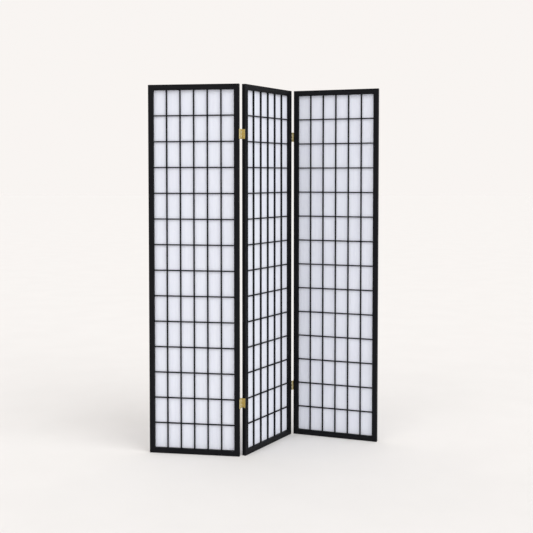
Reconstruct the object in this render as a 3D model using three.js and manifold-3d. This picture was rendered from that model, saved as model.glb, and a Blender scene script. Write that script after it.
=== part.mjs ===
// A folding room divider: three framed lattice panels backed with paper, joined by
// double-action hinges, which have a pin beyond each face so that a fold can go either way.
//
// Millimetres, +Z up. The screen stands in a zigzag and is seen from its front, along +Y.
// A panel's own frame has x along its width from its left end, y from its front face to its
// rear face, and z up from the floor.

import * as THREE from 'three';
import { mergeVertices } from 'three/addons/utils/BufferGeometryUtils.js';
import Module from 'manifold-3d';

const wasm = await Module();
wasm.setup();

// ---------------------------------------------------------------- driving sizes

// one panel
const panelHeight = 1784;
const panelWidth = 444.5;
const panelThickness = 19;
const stileWidth = 25.5;
const railHeight = 26.5;

// stub tenons that join the rails to the stiles
const tenonLength = 14;
const tenonThickness = 6;
const tenonSetback = 2.5; // from the frame's front face to the tenon
const tenonShoulder = 4; // above and below the tenon

// lattice
const columns = 6;
const rows = 14;
const uprightWidth = 6.2;
const uprightDepth = 8;
const crossHeight = 5.4;
const crossDepth = 6.6;
const latticeSetback = 5.5; // from the frame's front face to the uprights' fronts
const socketDepth = 4; // how far a bar's end goes into the frame

// paper
const paperThickness = 0.6;
const grooveDepth = 5;
const grooveEndGap = 0.5; // between the paper's edge and the bottom of its groove

// hinges
const hingeHeight = 46;
const hingeFromTop = 237; // the upper hinges' middle, below the panel's top
const hingeFromFloor = 256; // the lower hinges' middle, above the floor
const hingeGap = 8; // between the ends of two panels that stand in line
const pinStandOff = 4; // from a panel's face to the pin's axis
const leafThickness = 1.5;
const leafMargin = 1; // from the leaf's free edge to the panel's face
const middleLeafThickness = 1.5;
const knuckleCount = 5;
const pinRadius = 1.8;
const pinHeadRadius = 2.9;
const pinHeadHeight = 1.3;
const pinCrownShare = 0.72; // how wide the head's flat crown is
const pinCrownDepth = 0.3; // how much of the head's height slopes in to the crown

// wood screws
const screwHeadRadius = 3.1;
const screwHeadDepth = 1.3;
const screwShankRadius = 1.4;
const screwLength = 15;
const screwPointLength = 4;
const screwInset = 12; // from the leaf's upper or lower end to a screw's axis

// clearances
const seatGap = 0.3; // between pieces that rest on each other
const turnGap = 0.35; // between pieces that turn past each other
const cutOverrun = 1; // how far a cutter runs on beyond what it cuts

// stance, in degrees: how far each fold is from standing in line
const firstPanelTurn = -9.2;
const rearwardFold = 67.7; // panels 1 and 2, about the rear pins
const forwardFold = 78.9; // panels 2 and 3, about the front pins

// round pieces
const knuckleSides = 12;
const pinSides = 10;
const screwSides = 8;

// ---------------------------------------------------------------- materials

const finish = (name, color, roughness, metalness) => {
  const material = new THREE.MeshStandardMaterial({ color, roughness, metalness });
  material.name = name;
  return material;
};

const blackLacquer = finish('black lacquered wood', 0x1c1c20, 0.45, 0);
const whitePaper = finish('white fibre paper', 0xe3e4ec, 0.9, 0);
const brass = finish('brass', 0xc2a765, 0.35, 1);

// ---------------------------------------------------------------- solids

function toSolid(geometry) {
  const plain = geometry.index ? geometry.toNonIndexed() : geometry.clone();
  plain.deleteAttribute('normal');
  plain.deleteAttribute('uv');
  const merged = mergeVertices(plain, 1e-4);
  return new wasm.Manifold(new wasm.Mesh({
    numProp: 3,
    vertProperties: new Float32Array(merged.attributes.position.array),
    triVerts: new Uint32Array(merged.index.array),
  }));
}

function toGeometry(solid) {
  const mesh = solid.getMesh();
  const geometry = new THREE.BufferGeometry();
  geometry.setAttribute('position', new THREE.BufferAttribute(mesh.vertProperties, 3));
  geometry.setIndex(new THREE.BufferAttribute(mesh.triVerts, 1));
  geometry.computeVertexNormals();
  return geometry;
}

// a box between two corners
function block([x0, y0, z0], [x1, y1, z1]) {
  const geometry = new THREE.BoxGeometry(x1 - x0, y1 - y0, z1 - z0);
  geometry.translate((x0 + x1) / 2, (y0 + y1) / 2, (z0 + z1) / 2);
  return toSolid(geometry);
}

// an upright cylinder about (x, y), with a flat of its polygon square to x and y
function uprightCylinder(x, y, z0, z1, radius, sides) {
  const geometry = new THREE.CylinderGeometry(radius, radius, z1 - z0, sides);
  geometry.rotateX(Math.PI / 2);
  geometry.rotateZ(Math.PI / sides);
  geometry.translate(x, y, (z0 + z1) / 2);
  return toSolid(geometry);
}

const joinAll = (solids) => solids.reduce((sum, solid) => sum.add(solid));
const cutAll = (solid, cutters) => cutters.reduce((rest, cutter) => rest.subtract(cutter), solid);

// the same box with every side moved out by a gap
function boxWithGap([x0, y0, z0], [x1, y1, z1], gap) {
  return block([x0 - gap, y0 - gap, z0 - gap], [x1 + gap, y1 + gap, z1 + gap]);
}

function addMesh(group, name, geometry, material) {
  const mesh = new THREE.Mesh(geometry, material);
  mesh.name = name;
  group.add(mesh);
  return mesh;
}

// ---------------------------------------------------------------- layout of one panel

const openingLeft = stileWidth;
const openingRight = panelWidth - stileWidth;
const openingBottom = railHeight;
const openingTop = panelHeight - railHeight;

const paperFront = latticeSetback + uprightDepth + seatGap;
const paperBack = paperFront + paperThickness;
const crossFront = latticeSetback + uprightDepth - crossDepth;
const latticeBack = latticeSetback + uprightDepth;

// the bars divide the opening into equal clear spaces
const columnPitch = (openingRight - openingLeft + uprightWidth) / columns;
const rowPitch = (openingTop - openingBottom + crossHeight) / rows;
const uprightCentres = [];
for (let i = 1; i < columns; i += 1) {
  uprightCentres.push(openingLeft - uprightWidth / 2 + i * columnPitch);
}
const crossCentres = [];
for (let i = 1; i < rows; i += 1) {
  crossCentres.push(openingBottom - crossHeight / 2 + i * rowPitch);
}

const uprightBars = uprightCentres.map((x) => [
  [x - uprightWidth / 2, latticeSetback, openingBottom - socketDepth],
  [x + uprightWidth / 2, latticeBack, openingTop + socketDepth],
]);
const crossBars = crossCentres.map((z) => [
  [openingLeft - socketDepth, crossFront, z - crossHeight / 2],
  [openingRight + socketDepth, latticeBack, z + crossHeight / 2],
]);

// the slot that the paper's four edges run in
const paperGroove = [
  [openingLeft - grooveDepth, paperFront, openingBottom - grooveDepth],
  [openingRight + grooveDepth, paperBack, openingTop + grooveDepth],
];

// ---------------------------------------------------------------- frame

// both tenons of a rail whose lower edge is at z
function railTenons(z) {
  const y0 = tenonSetback;
  const y1 = tenonSetback + tenonThickness;
  const z0 = z + tenonShoulder;
  const z1 = z + railHeight - tenonShoulder;
  return [
    [[openingLeft - tenonLength, y0, z0], [openingLeft + tenonShoulder, y1, z1]],
    [[openingRight - tenonShoulder, y0, z0], [openingRight + tenonLength, y1, z1]],
  ];
}

const grooveCutter = () => boxWithGap(...paperGroove, seatGap);

function makeRail(z) {
  const body = block(
    [openingLeft + seatGap, 0, z],
    [openingRight - seatGap, panelThickness, z + railHeight],
  );
  const tenons = railTenons(z).map((corners) => block(...corners));
  const sockets = uprightBars.map((corners) => boxWithGap(...corners, seatGap));
  return toGeometry(cutAll(joinAll([body, ...tenons]), [...sockets, grooveCutter()]));
}

function makeStile(x0) {
  const body = block([x0, 0, 0], [x0 + stileWidth, panelThickness, panelHeight]);
  const tenons = [...railTenons(0), ...railTenons(openingTop)];
  const mortises = tenons.map((corners) => boxWithGap(...corners, seatGap));
  const sockets = crossBars.map((corners) => boxWithGap(...corners, seatGap));
  const pilots = hingeCentres().flatMap((z) => screwHeights(z).map(
    (screwZ) => screwPilot(x0, screwZ),
  ));
  return toGeometry(cutAll(body, [...mortises, ...sockets, grooveCutter(), ...pilots]));
}

// ---------------------------------------------------------------- lattice and paper

function makeLattice() {
  return toGeometry(joinAll([...uprightBars, ...crossBars].map((corners) => block(...corners))));
}

function makePaper() {
  const [low, high] = paperGroove;
  return toGeometry(block(
    [low[0] + grooveEndGap, low[1], low[2] + grooveEndGap],
    [high[0] - grooveEndGap, high[1], high[2] - grooveEndGap],
  ));
}

// ---------------------------------------------------------------- hinge
// A hinge is drawn in the frame of the panel on its left: x = 0 is that panel's right end, y = 0
// its front face and z = 0 the hinge's middle. Its left leaf hangs on the front pin, and the same
// leaf turned half round is fixed to the panel on its right and hangs on the rear pin.

const knuckleRadius = hingeGap / 2 - seatGap; // so that a leaf runs off the knuckle as a tangent
const boreRadius = pinRadius + turnGap;
const knuckleHeight = hingeHeight / knuckleCount;

function hingeCentres() {
  return [hingeFromFloor, panelHeight - hingeFromTop];
}

function screwHeights(hingeZ) {
  const offset = hingeHeight / 2 - screwInset;
  return [hingeZ - offset, hingeZ + offset];
}

// knuckle heights, measured from the hinge's middle: even ones are the outer leaves'
function knuckleRange(index) {
  const bottom = -hingeHeight / 2 + index * knuckleHeight;
  const isFirst = index === 0;
  const isLast = index === knuckleCount - 1;
  return [
    bottom + (isFirst ? 0 : turnGap / 2),
    bottom + knuckleHeight - (isLast ? 0 : turnGap / 2),
  ];
}

const outerKnuckles = () => [...Array(knuckleCount).keys()].filter((i) => i % 2 === 0);
const middleKnuckles = () => [...Array(knuckleCount).keys()].filter((i) => i % 2 === 1);

// A leaf's screw hole, its axis along x, with the countersink at the face x = faceX.
function countersunkHole(faceX, y, z) {
  const gap = seatGap;
  const profile = [
    new THREE.Vector2(0, -gap),
    new THREE.Vector2(screwHeadRadius + gap, -gap),
    new THREE.Vector2(screwHeadRadius + gap, 0),
    new THREE.Vector2(screwShankRadius + gap, screwHeadDepth),
    new THREE.Vector2(screwShankRadius + gap, leafThickness + gap),
    new THREE.Vector2(0, leafThickness + gap),
  ];
  const geometry = new THREE.LatheGeometry(profile, screwSides);
  geometry.rotateZ(Math.PI / 2); // the lathe's axis, +y, now points along -x
  geometry.translate(faceX, y, z);
  return toSolid(geometry);
}

const pinX = hingeGap / 2;
const rearPinY = panelThickness + pinStandOff;
const frontPinY = -pinStandOff;
const leafScrewY = panelThickness / 2;

function knuckleBore(y, z0, z1) {
  return uprightCylinder(pinX, y, z0 - cutOverrun, z1 + cutOverrun, boreRadius, knuckleSides);
}

function makeOuterLeaf() {
  const x0 = seatGap;
  const x1 = seatGap + leafThickness;
  const plate = block(
    [x0, 0, -hingeHeight / 2],
    [x1, panelThickness - leafMargin, hingeHeight / 2],
  );
  const solids = [plate];
  const bores = [];
  for (const index of outerKnuckles()) {
    const [z0, z1] = knuckleRange(index);
    solids.push(block([x0, frontPinY, z0], [x1, leafThickness, z1]));
    solids.push(uprightCylinder(pinX, frontPinY, z0, z1, knuckleRadius, knuckleSides));
    bores.push(knuckleBore(frontPinY, z0, z1));
  }
  const holes = screwHeights(0).map((z) => countersunkHole(x1, leafScrewY, z));
  return cutAll(joinAll(solids), [...bores, ...holes]);
}

function makeMiddleLeaf() {
  const clear = knuckleRadius + turnGap;
  const half = middleLeafThickness / 2;
  const solids = [block(
    [pinX - half, frontPinY + clear, -hingeHeight / 2],
    [pinX + half, rearPinY - clear, hingeHeight / 2],
  )];
  const bores = [];
  for (const index of middleKnuckles()) {
    const [z0, z1] = knuckleRange(index);
    solids.push(block([pinX - half, frontPinY, z0], [pinX + half, rearPinY, z1]));
    for (const y of [frontPinY, rearPinY]) {
      solids.push(uprightCylinder(pinX, y, z0, z1, knuckleRadius, knuckleSides));
      bores.push(knuckleBore(y, z0, z1));
    }
  }
  return cutAll(joinAll(solids), bores);
}

// a pin with a rounded button head at each end, about its own upright axis
function makePin() {
  const half = hingeHeight / 2 + seatGap;
  const top = half + pinHeadHeight;
  const waist = pinHeadRadius * pinCrownShare;
  const crown = pinHeadHeight * pinCrownDepth;
  const profile = [
    new THREE.Vector2(0, -top),
    new THREE.Vector2(waist, -top + crown),
    new THREE.Vector2(pinHeadRadius, -half),
    new THREE.Vector2(pinRadius, -half),
    new THREE.Vector2(pinRadius, half),
    new THREE.Vector2(pinHeadRadius, half),
    new THREE.Vector2(waist, top - crown),
    new THREE.Vector2(0, top),
  ];
  const geometry = new THREE.LatheGeometry(profile, pinSides);
  geometry.rotateX(Math.PI / 2);
  return toGeometry(toSolid(geometry));
}

// ---------------------------------------------------------------- screws

// the pilot hole for a screw whose leaf lies on a panel's end
function screwPilot(stileX, z) {
  const isLeftStile = stileX === 0;
  const depth = screwLength - leafThickness;
  const radius = screwShankRadius + seatGap;
  const geometry = new THREE.CylinderGeometry(radius, radius, depth + cutOverrun, screwSides);
  geometry.rotateZ(Math.PI / 2);
  const middle = (depth - cutOverrun) / 2;
  geometry.translate(isLeftStile ? middle : panelWidth - middle, leafScrewY, z);
  return toSolid(geometry);
}

// a countersunk screw in the right end of a panel, its axis along x and its head at x = 0
function makeScrew() {
  const profile = [
    new THREE.Vector2(0, 0),
    new THREE.Vector2(screwHeadRadius, 0),
    new THREE.Vector2(screwShankRadius, screwHeadDepth),
    new THREE.Vector2(screwShankRadius, screwLength - screwPointLength),
    new THREE.Vector2(0, screwLength),
  ];
  const geometry = new THREE.LatheGeometry(profile, screwSides);
  geometry.rotateZ(Math.PI / 2);
  return toGeometry(toSolid(geometry));
}

// ---------------------------------------------------------------- assembly

const stileGeometry = { left: makeStile(0), right: makeStile(panelWidth - stileWidth) };
const railGeometry = { bottom: makeRail(0), top: makeRail(openingTop) };
const latticeGeometry = makeLattice();
const paperGeometry = makePaper();
const outerLeafGeometry = toGeometry(makeOuterLeaf());
const middleLeafGeometry = toGeometry(makeMiddleLeaf());
const pinGeometry = makePin();
const screwGeometry = makeScrew();

function addPanel(parent, name) {
  addMesh(parent, `${name}_left_stile`, stileGeometry.left, blackLacquer);
  addMesh(parent, `${name}_right_stile`, stileGeometry.right, blackLacquer);
  addMesh(parent, `${name}_top_rail`, railGeometry.top, blackLacquer);
  addMesh(parent, `${name}_bottom_rail`, railGeometry.bottom, blackLacquer);
  addMesh(parent, `${name}_lattice`, latticeGeometry, blackLacquer);
  addMesh(parent, `${name}_paper`, paperGeometry, whitePaper);
}

const heightNames = ['lower', 'upper'];

// A leaf and its two screws on the right end of the panel that parent holds.
function addRightEndLeaf(parent, hingeName, side, hingeZ) {
  const holder = new THREE.Group();
  holder.position.set(panelWidth, 0, hingeZ);
  parent.add(holder);
  fillLeafHolder(holder, hingeName, side);
}

// The same leaf turned half round, on the left end of the panel that parent holds.
function addLeftEndLeaf(parent, hingeName, side, hingeZ) {
  const holder = new THREE.Group();
  holder.position.set(0, panelThickness, hingeZ);
  holder.rotation.z = Math.PI;
  parent.add(holder);
  fillLeafHolder(holder, hingeName, side);
}

function fillLeafHolder(holder, hingeName, side) {
  addMesh(holder, `${hingeName}_${side}_leaf`, outerLeafGeometry, brass);
  screwHeights(0).forEach((z, i) => {
    const name = `${hingeName}_${side}_leaf_${heightNames[i]}_screw`;
    const screw = addMesh(holder, name, screwGeometry, brass);
    screw.position.set(seatGap + leafThickness, leafScrewY, z);
  });
}

// The middle leaves and pins of one fold, in the frame of the panel on the fold's left.
function addMiddleLeaves(parent, foldName) {
  hingeCentres().forEach((z, i) => {
    const hingeName = `${foldName}_${heightNames[i]}_hinge`;
    const leaf = addMesh(parent, `${hingeName}_middle_leaf`, middleLeafGeometry, brass);
    leaf.position.set(panelWidth, 0, z);
    const rearPin = addMesh(parent, `${hingeName}_rear_pin`, pinGeometry, brass);
    rearPin.position.set(panelWidth + pinX, rearPinY, z);
    const frontPin = addMesh(parent, `${hingeName}_front_pin`, pinGeometry, brass);
    frontPin.position.set(panelWidth + pinX, frontPinY, z);
  });
}

function addOuterLeaves(leftPanel, rightPanel, foldName) {
  hingeCentres().forEach((z, i) => {
    const hingeName = `${foldName}_${heightNames[i]}_hinge`;
    addRightEndLeaf(leftPanel, hingeName, 'left', z);
    addLeftEndLeaf(rightPanel, hingeName, 'right', z);
  });
}

// A group that turns about an upright axis at (x, y) of its parent's frame. What it holds is
// still placed in the parent's own coordinates.
function turnAbout(parent, x, y, degrees) {
  const pivot = new THREE.Group();
  pivot.position.set(x, y, 0);
  pivot.rotation.z = THREE.MathUtils.degToRad(degrees);
  parent.add(pivot);
  const content = new THREE.Group();
  content.position.set(-x, -y, 0);
  pivot.add(content);
  return content;
}

// Places the next panel's own frame beyond the hinge gap.
function stepToNextPanel(parent) {
  const next = new THREE.Group();
  next.position.set(panelWidth + hingeGap, 0, 0);
  parent.add(next);
  return next;
}

const screen = new THREE.Group();
screen.name = 'folding_screen';

const panel1 = new THREE.Group();
panel1.rotation.z = THREE.MathUtils.degToRad(firstPanelTurn);
screen.add(panel1);
addPanel(panel1, 'panel_1');

// panels 1 and 2 fold back to back, about the rear pins, so the middle leaves stay by panel 1
const pinLineX = panelWidth + pinX;
addMiddleLeaves(panel1, 'fold_1_2');
const fold12 = turnAbout(panel1, pinLineX, rearPinY, rearwardFold);
const panel2 = stepToNextPanel(fold12);
addPanel(panel2, 'panel_2');
addOuterLeaves(panel1, panel2, 'fold_1_2');

// panels 2 and 3 fold front to front, about the front pins, so the middle leaves stay by panel 3
const fold23 = turnAbout(panel2, pinLineX, frontPinY, -forwardFold);
addMiddleLeaves(fold23, 'fold_2_3');
const panel3 = stepToNextPanel(fold23);
addPanel(panel3, 'panel_3');
addOuterLeaves(panel2, panel3, 'fold_2_3');

// the origin is under the middle of the standing screen's box, on the floor
screen.updateMatrixWorld(true);
const standingBox = new THREE.Box3().setFromObject(screen, true);
const middle = standingBox.getCenter(new THREE.Vector3());
screen.position.set(-middle.x, -middle.y, 0);
screen.updateMatrixWorld(true);

export default screen;
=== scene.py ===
# %% [markdown]
# # A folding screen in black lacquer, white paper and brass
#
# The object is a room divider of three wooden panels. Each panel is a frame of four members
# round a lattice of thin bars, with a sheet of fibre paper behind the bars, and double-action
# brass hinges join the panels. The design, its sizes and its joints are already settled in a CAD
# model, so this lesson only gives the pieces their finished shape and surface.
#
# The CAD model is loaded first and is never moved. Every size below is either read from it or
# is a small named detail, such as the radius of an eased edge, that the CAD model leaves out.

# %% Load the CAD model as the frame
import math
import random

import bmesh
import bpy
import numpy as np
from mathutils import Euler, Matrix, Vector


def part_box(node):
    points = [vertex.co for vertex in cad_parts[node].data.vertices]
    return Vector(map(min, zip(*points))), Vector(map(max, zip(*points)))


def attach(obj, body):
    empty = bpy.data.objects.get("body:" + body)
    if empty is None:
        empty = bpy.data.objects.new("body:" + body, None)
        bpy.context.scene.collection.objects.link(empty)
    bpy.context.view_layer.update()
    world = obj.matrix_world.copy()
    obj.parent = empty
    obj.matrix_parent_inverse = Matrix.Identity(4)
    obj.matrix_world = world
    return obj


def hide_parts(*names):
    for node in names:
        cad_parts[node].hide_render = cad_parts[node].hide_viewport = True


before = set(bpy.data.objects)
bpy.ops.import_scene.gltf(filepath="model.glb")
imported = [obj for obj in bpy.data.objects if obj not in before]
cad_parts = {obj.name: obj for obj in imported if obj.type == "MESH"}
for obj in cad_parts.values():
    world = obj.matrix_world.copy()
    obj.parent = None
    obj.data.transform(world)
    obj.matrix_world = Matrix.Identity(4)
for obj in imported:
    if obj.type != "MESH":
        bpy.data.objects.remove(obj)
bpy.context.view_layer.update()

scene = bpy.context.scene

# %% [markdown]
# ## The camera comes first
#
# A tall object that is shot from eye height shows its uprights parallel only if the camera is
# level. Tilting the camera down makes them converge, so the camera tilts by a few degrees only
# and a lowered lens does the rest of the framing, as in an architect's view camera.

# %% A nearly level camera with a lowered lens
EYE_HEIGHT = 1.3505
EYE_DISTANCE = 4.575
EYE_ACROSS = -0.0187
FAR_CLIP = 200.0
TILT_DOWN = 2.5  # degrees
TURN_RIGHT = 0.265  # degrees
LENS_MM = 62.177
SENSOR_MM = 36.0
LENS_DROP = -0.0956  # share of the sensor's width

camera_data = bpy.data.cameras.new("eye_height_camera")
camera_data.lens = LENS_MM
camera_data.sensor_width = SENSOR_MM
camera_data.shift_y = LENS_DROP
camera_data.clip_end = FAR_CLIP
camera = bpy.data.objects.new("eye_height_camera", camera_data)
camera.location = (EYE_ACROSS, -EYE_DISTANCE, EYE_HEIGHT)
camera.rotation_euler = (math.radians(90 - TILT_DOWN), 0, math.radians(-TURN_RIGHT))
scene.collection.objects.link(camera)
scene.camera = camera
print("camera at", tuple(round(v, 3) for v in camera.location))

# %% [markdown]
# ## Where each panel stands
#
# The screen stands in a zigzag, so each panel has a frame of its own: across from its left end,
# back from its front face, and up from the floor. A panel's heading is the direction from the
# middle of its left stile to the middle of its right one. A box round an upright prism keeps the
# prism's own middle however the prism is turned, so the CAD boxes are enough to find it.

# %% Read the panels' directions from their stiles
PANEL_NAMES = ("panel_1", "panel_2", "panel_3")


def box_middle(node):
    low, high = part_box(node)
    return (low + high) / 2


def heading_of(panel_name):
    run = box_middle(f"{panel_name}_right_stile") - box_middle(f"{panel_name}_left_stile")
    return math.atan2(run.y, run.x)


headings = {name: heading_of(name) for name in PANEL_NAMES}
print("headings:", {name: round(math.degrees(a), 2) for name, a in headings.items()})


# %% Measure every panel in its own frame
def node_points(node):
    return np.array([tuple(v.co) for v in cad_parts[node].data.vertices])


class Panel:
    """One panel's place and the sizes of its members."""

    def __init__(self, name):
        self.name = name
        turn = Matrix.Rotation(headings[name], 4, "Z")
        back = np.array(turn.to_3x3()).T
        stiles = [node_points(f"{name}_{side}_stile") @ back.T for side in ("left", "right")]
        corner = stiles[0].min(0)
        self.matrix = turn @ Matrix.Translation(corner)
        self.to_panel = np.array(self.matrix.inverted())
        left, right = self.box(f"{name}_left_stile"), self.box(f"{name}_right_stile")
        self.width, self.thickness, self.height = right[1]
        self.opening_left, self.opening_right = left[1][0], right[0][0]
        self.opening_bottom = self.box(f"{name}_bottom_rail")[1][2]
        self.opening_top = self.box(f"{name}_top_rail")[0][2]
        self.lattice_front, self.lattice_back = (c[1] for c in self.box(f"{name}_lattice"))
        self.paper_front, self.paper_back = (c[1] for c in self.box(f"{name}_paper"))

    def box(self, node):
        """A node's lowest and highest corner in this panel's own frame."""
        points = node_points(node)
        local = points @ self.to_panel[:3, :3].T + self.to_panel[:3, 3]
        return local.min(0), local.max(0)


panels = {name: Panel(name) for name in headings}
for panel in panels.values():
    size = [round(float(v) * 1000, 2) for v in (panel.width, panel.thickness, panel.height)]
    print(panel.name, "is", size, "mm")


# %% [markdown]
# ## Small helpers
#
# A finished piece keeps its object at the origin and has its place in its mesh. Flat faces
# beside small rounded edges shade badly with plain smoothing, because every corner's normal is
# an average. Weighting that average by face area keeps the big faces flat and lets the rounded
# edges take up the whole turn.

# %% Meshes, normals and plain copies
def make_mesh(name, vertices, faces):
    mesh = bpy.data.meshes.new(name)
    mesh.from_pydata([tuple(v) for v in vertices], [], faces)
    mesh.validate()
    mesh.update()
    return mesh


def make_object(name, mesh, material=None):
    piece = bpy.data.objects.new(name, mesh)
    scene.collection.objects.link(piece)
    if material:
        mesh.materials.clear()
        mesh.materials.append(material)
    return piece


def smooth_by_area(mesh, flat_area=math.inf):
    """Smooth shading in which a corner leans to its largest faces.

    A face of flat_area or more keeps its own normal at every corner, so it stays dead flat."""
    mesh.polygons.foreach_set("use_smooth", [True] * len(mesh.polygons))
    totals = np.zeros((len(mesh.vertices), 3))
    for face in mesh.polygons:
        totals[list(face.vertices)] += np.array(face.normal) * face.area
    lengths = np.linalg.norm(totals, axis=1, keepdims=True)
    averages = totals / np.maximum(lengths, 1e-12)
    corners = averages[[loop.vertex_index for loop in mesh.loops]]
    for face in mesh.polygons:
        if face.area >= flat_area:
            corners[face.loop_start:face.loop_start + face.loop_total] = face.normal
    mesh.normals_split_custom_set(corners.tolist())


def set_vectors(mesh, name, values):
    layer = mesh.attributes.new(name, "FLOAT_VECTOR", "POINT")
    layer.data.foreach_set("vector", np.asarray(values, np.float32).ravel())


def plain_copy(piece):
    """The mesh that an object's modifiers make, with nothing left live."""
    graph = bpy.context.evaluated_depsgraph_get()
    return bpy.data.meshes.new_from_object(piece.evaluated_get(graph))


def settle(piece):
    mesh = plain_copy(piece)
    piece.modifiers.clear()
    old = piece.data
    piece.data = mesh
    bpy.data.meshes.remove(old)
    return piece


def discard(*pieces):
    for piece in pieces:
        mesh = piece.data
        bpy.data.objects.remove(piece)
        bpy.data.meshes.remove(mesh)


def count_triangles(mesh):
    return sum(len(face.vertices) - 2 for face in mesh.polygons)


# %% [markdown]
# ## Materials from nodes
#
# Each finish is a small tree of noise, ramps and maths, so it stays sharp at any distance. The
# builder below keeps the trees short to write: it adds a node, sets its plain values and links
# its inputs in one call.

# %% A short way to write node trees
class Tree:
    """Adds nodes to a tree, with inputs given by name or index."""

    def __init__(self, tree):
        self.tree = tree

    def add(self, kind, inputs=None, **settings):
        node = self.tree.nodes.new(kind)
        for key, value in settings.items():
            setattr(node, key, value)
        for key, value in (inputs or {}).items():
            self.feed(node.inputs[key], value)
        return node

    def feed(self, socket, value):
        if isinstance(value, bpy.types.NodeSocket):
            self.tree.links.new(value, socket)
        else:
            socket.default_value = value

    def maths(self, operation, *values, clamp=False):
        node = self.add("ShaderNodeMath", operation=operation, use_clamp=clamp)
        for socket, value in zip(node.inputs, values):
            self.feed(socket, value)
        return node.outputs[0]


class Finish(Tree):
    """A material whose surface is one Principled shader."""

    def __init__(self, name):
        material = bpy.data.materials.new(name)
        material.use_nodes = True
        super().__init__(material.node_tree)
        self.material = material
        self.tree.nodes.clear()
        self.output = self.add("ShaderNodeOutputMaterial")
        self.surface = self.add("ShaderNodeBsdfPrincipled")
        self.tree.links.new(self.surface.outputs[0], self.output.inputs["Surface"])

    def set(self, **values):
        for key, value in values.items():
            self.feed(self.surface.inputs[key.replace("_", " ")], value)

    def attribute(self, name):
        return self.add("ShaderNodeAttribute", attribute_name=name).outputs["Vector"]

    def object_place(self):
        return self.add("ShaderNodeTexCoord").outputs["Object"]

    def stretched(self, place, scale, shift=(0, 0, 0)):
        node = self.add("ShaderNodeMapping", {"Vector": place, "Scale": scale, "Location": shift})
        return node.outputs[0]

    def noise(self, place, scale, detail=3.0, roughness=0.5, distortion=0.0):
        node = self.add("ShaderNodeTexNoise", {
            "Vector": place, "Scale": scale, "Detail": detail,
            "Roughness": roughness, "Distortion": distortion,
        })
        return node.outputs["Fac"]

    def ramp(self, value, low, high, to_low=0.0, to_high=1.0):
        """Maps low..high to to_low..to_high, and holds the ends."""
        node = self.add("ShaderNodeMapRange", {
            "Value": value, "From Min": low, "From Max": high,
            "To Min": to_low, "To Max": to_high,
        }, clamp=True)
        return node.outputs["Result"]

    def blend(self, factor, first, second):
        node = self.add("ShaderNodeMix", data_type="RGBA")
        self.feed(node.inputs["Factor"], factor)
        for key, colour in (("A", first), ("B", second)):
            socket = [s for s in node.inputs if s.name == key and s.type == "RGBA"][0]
            self.feed(socket, colour if isinstance(colour, bpy.types.NodeSocket) else (*colour, 1))
        return [s for s in node.outputs if s.type == "RGBA"][0]

    def bump(self, height, distance, strength=1.0):
        node = self.add("ShaderNodeBump", {
            "Height": height, "Distance": distance, "Strength": strength,
        })
        return node.outputs[0]


# %% [markdown]
# ## Black lacquer on softwood
#
# Two thin coats of satin black over softwood don't hide the wood altogether: the grain lines
# stand a few hundredths of a millimetre proud, the gloss wavers along them, and the eased edges
# rub to a slightly greyer, smoother black. An image of wood would have to be wrapped round more
# than sixty bars in three directions. Instead every bar carries three vectors: where a point
# lies in the bar, half the bar's size, and a shift that gives each bar its own piece of wood.

# %% Lacquer that follows each bar
LACQUER_BLACK = (0.0049, 0.0053, 0.0069)
LACQUER_GRAIN = (0.0078, 0.0081, 0.0096)
LACQUER_RUBBED = (0.022, 0.0215, 0.023)
RUBBED_WIDTH = 0.0016
WOOD_SPREAD = 9.0  # metres either way, over which bars take their own piece of wood


def make_lacquer():
    finish = Finish("black_lacquer_on_softwood")
    place, half, shift = (finish.attribute(n) for n in ("bar", "bar_half", "bar_shift"))
    wood = finish.add("ShaderNodeVectorMath", {0: place, 1: shift}, operation="ADD").outputs[0]
    rings = finish.noise(finish.stretched(wood, (150, 150, 4.0)), 1.0, 3, 0.55, 0.6)
    pores = finish.noise(finish.stretched(wood, (900, 900, 22.0)), 1.0, 2, 0.6)
    brushed = finish.noise(finish.stretched(wood, (2600, 2600, 60.0)), 1.0, 2, 0.5)
    cloudy = finish.noise(wood, 9.0, 2, 0.5)

    # On a face one distance to the section's edge is nothing and the other grows from the arris.
    near = finish.add("ShaderNodeVectorMath", {0: place}, operation="ABSOLUTE").outputs[0]
    left = finish.add("ShaderNodeVectorMath", {0: half, 1: near}, operation="SUBTRACT").outputs[0]
    parts = finish.add("ShaderNodeSeparateXYZ", {0: left}).outputs
    to_arris = finish.maths("MAXIMUM", parts[0], parts[1])
    worn_edge = finish.ramp(to_arris, RUBBED_WIDTH, 0.0)
    hand_wear = finish.noise(finish.stretched(wood, (60, 60, 25)), 1.0, 4, 0.6)
    patchy = finish.ramp(hand_wear, 0.42, 0.72)
    rubbed = finish.maths("MULTIPLY", worn_edge, patchy, clamp=True)

    grain_line = finish.ramp(rings, 0.50, 0.66)
    colour = finish.blend(grain_line, LACQUER_BLACK, LACQUER_GRAIN)
    colour = finish.blend(rubbed, colour, LACQUER_RUBBED)

    gloss = finish.ramp(cloudy, 0.3, 0.7, 0.40, 0.52)
    gloss = finish.maths("ADD", gloss, finish.ramp(pores, 0.45, 0.75, 0.0, 0.10))
    gloss = finish.maths("SUBTRACT", gloss, finish.maths("MULTIPLY", rubbed, 0.08))

    relief = finish.maths("MULTIPLY_ADD", pores, 0.5, finish.maths("MULTIPLY", brushed, 0.18))
    relief = finish.maths("MULTIPLY_ADD", rings, 0.9, relief)
    finish.set(
        Base_Color=colour, Roughness=gloss, Specular_IOR_Level=0.09,
        Normal=finish.bump(relief, 0.00010, 0.55),
    )
    return finish.material


lacquer = make_lacquer()
print("made", lacquer.name, "with", len(lacquer.node_tree.nodes), "nodes")

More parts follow.
